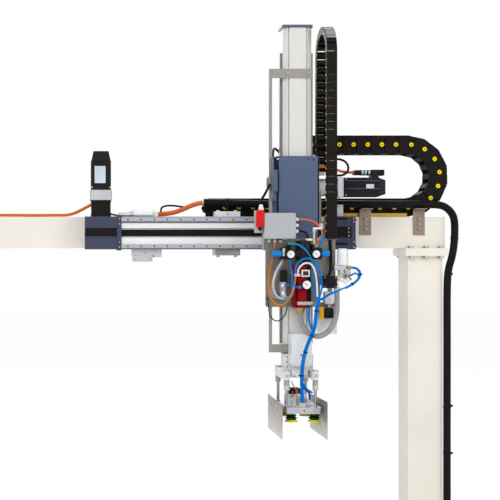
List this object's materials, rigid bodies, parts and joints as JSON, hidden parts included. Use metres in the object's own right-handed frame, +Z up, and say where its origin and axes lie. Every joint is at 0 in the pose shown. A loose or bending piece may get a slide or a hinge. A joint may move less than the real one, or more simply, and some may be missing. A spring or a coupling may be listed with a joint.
{
  "type": "gantry robot",
  "caption": "Linear gantry: a beam on square columns carries a belt-driven horizontal axis whose carriage lifts a rack-driven vertical axis with a vacuum gripper and energy chains.",
  "frame": {"origin": "centre of the right column's foot plate, on the floor", "axes": "+X along the beam to the right, +Y away from the working side, +Z up"},
  "size_m": [2.45, 0.718, 2.2813],
  "materials": {
    "frame_paint": "satin paint",
    "zinc_steel": "zinc plated",
    "slate_paint": "satin slate blue",
    "anodised": "anodised",
    "rail_steel": "ground steel",
    "pulley_alu": "machined",
    "gearbox_alu": "machined",
    "motor_black": "satin black",
    "black_plastic": "matte",
    "belt_rubber": "matte",
    "cable_black": "matte",
    "cable_orange": "satin",
    "hose_blue": "satin",
    "hose_grey": "satin",
    "box_grey": "powder coat",
    "red_plastic": "gloss",
    "knob_blue": "satin",
    "gauge_white": "gloss",
    "valve_dark": "matte",
    "cup_rubber": "matte"
  },
  "bodies": {
    "frame": {"beam": "frame_paint", "column_right": "frame_paint", "column_left": "frame_paint", "flange_bolts": "zinc_steel", "x_profile": "anodised", "x_rails": "rail_steel", "x_belt": "belt_rubber", "x_drive_head": "slate_paint", "x_idler_head": "slate_paint", "x_gearbox": "gearbox_alu", "x_motor": "motor_black", "axis_clamps": "slate_paint", "tray_brackets": "anodised", "conduit": "black_plastic", "x_chain_fixed": "black_plastic", "motor_cables": "cable_black"},
    "x_drive_pulley": {"x_drive_pulley": "pulley_alu"},
    "x_idler_pulley": {"x_idler_pulley": "pulley_alu"},
    "x_chain_loop": {"x_chain_loop": "black_plastic"},
    "x_carriage": {"x_carriage_plate": "slate_paint", "x_bearing_blocks": "rail_steel", "x_belt_clamp": "pulley_alu", "z_housing": "slate_paint", "z_cover": "slate_paint", "z_bearing_blocks": "rail_steel", "z_gearbox": "gearbox_alu", "z_motor": "motor_black", "chain_brackets": "zinc_steel", "x_chain_moving": "black_plastic", "z_chain_fixed": "black_plastic", "z_motor_cables": "cable_black"},
    "z_pinion": {"z_pinion": "rail_steel"},
    "z_chain_loop": {"z_chain_loop": "black_plastic"},
    "z_axis": {"z_profile": "anodised", "z_rails": "rail_steel", "z_rack": "rail_steel", "z_caps": "black_plastic", "guard_frame": "zinc_steel", "z_chain_moving": "black_plastic", "valve_plate": "anodised", "junction_box": "box_grey", "junction_box_lid": "box_grey", "limit_switch": "red_plastic", "regulators": "valve_dark", "gauges": "gauge_white", "vacuum_ejector": "red_plastic", "filter_unit": "valve_dark", "valve_block": "valve_dark", "power_cables": "cable_black", "air_hoses": "hose_blue", "orange_cables": "cable_orange", "vacuum_hose": "hose_grey", "gripper_yoke": "anodised", "guide_rods": "rail_steel", "gripper_base": "anodised", "gripper_fittings": "valve_dark", "suction_cups": "cup_rubber", "side_plates": "zinc_steel"},
    "knob_left": {"knob_left": "knob_blue"},
    "knob_right": {"knob_right": "knob_blue"}
  },
  "joints": [
    {"name": "x_slide", "type": "slide", "parent": "frame", "child": "x_carriage", "axis": [1, 0, 0], "range_m": [-0.66, 0]},
    {"name": "x_chain_roll", "type": "slide", "parent": "frame", "child": "x_chain_loop", "axis": [1, 0, 0], "range_m": [-0.33, 0], "deforming": ["x_chain_loop"]},
    {"name": "x_drive_spin", "type": "hinge", "parent": "frame", "child": "x_drive_pulley", "pos_m": [-1.5105, -0.156, 1.369], "axis": [0, 0, 1], "range_deg": [-1580, 5]},
    {"name": "x_idler_spin", "type": "hinge", "parent": "frame", "child": "x_idler_pulley", "pos_m": [-0.41475, -0.156, 1.369], "axis": [0, 0, 1], "range_deg": [-1580, 5]},
    {"name": "z_slide", "type": "slide", "parent": "x_carriage", "child": "z_axis", "axis": [0, 0, 1], "range_m": [-0.34, 0]},
    {"name": "z_chain_roll", "type": "slide", "parent": "x_carriage", "child": "z_chain_loop", "axis": [0, 0, 1], "range_m": [-0.17, 0], "deforming": ["z_chain_loop"]},
    {"name": "z_pinion_spin", "type": "hinge", "parent": "x_carriage", "child": "z_pinion", "pos_m": [-0.652, -0.225, 1.574], "axis": [1, 0, 0], "range_deg": [-5, 655]},
    {"name": "knob_left_turn", "type": "hinge", "parent": "z_axis", "child": "knob_left", "pos_m": [-0.756, -0.455, 1.2755], "axis": [1, 0, 0], "range_deg": [-1080, 1080]},
    {"name": "knob_right_turn", "type": "hinge", "parent": "z_axis", "child": "knob_right", "pos_m": [-0.547, -0.455, 1.2755], "axis": [1, 0, 0], "range_deg": [-1080, 1080]}
  ],
  "couplings": [
    {"joint": "x_chain_roll", "follows": "x_slide", "ratio": 0.5},
    {"joint": "x_drive_spin", "follows": "x_slide", "rad_per_m": 41.667},
    {"joint": "x_idler_spin", "follows": "x_slide", "rad_per_m": 41.667},
    {"joint": "z_chain_roll", "follows": "z_slide", "ratio": 0.5},
    {"joint": "z_pinion_spin", "follows": "z_slide", "rad_per_m": -33.333}
  ]
}
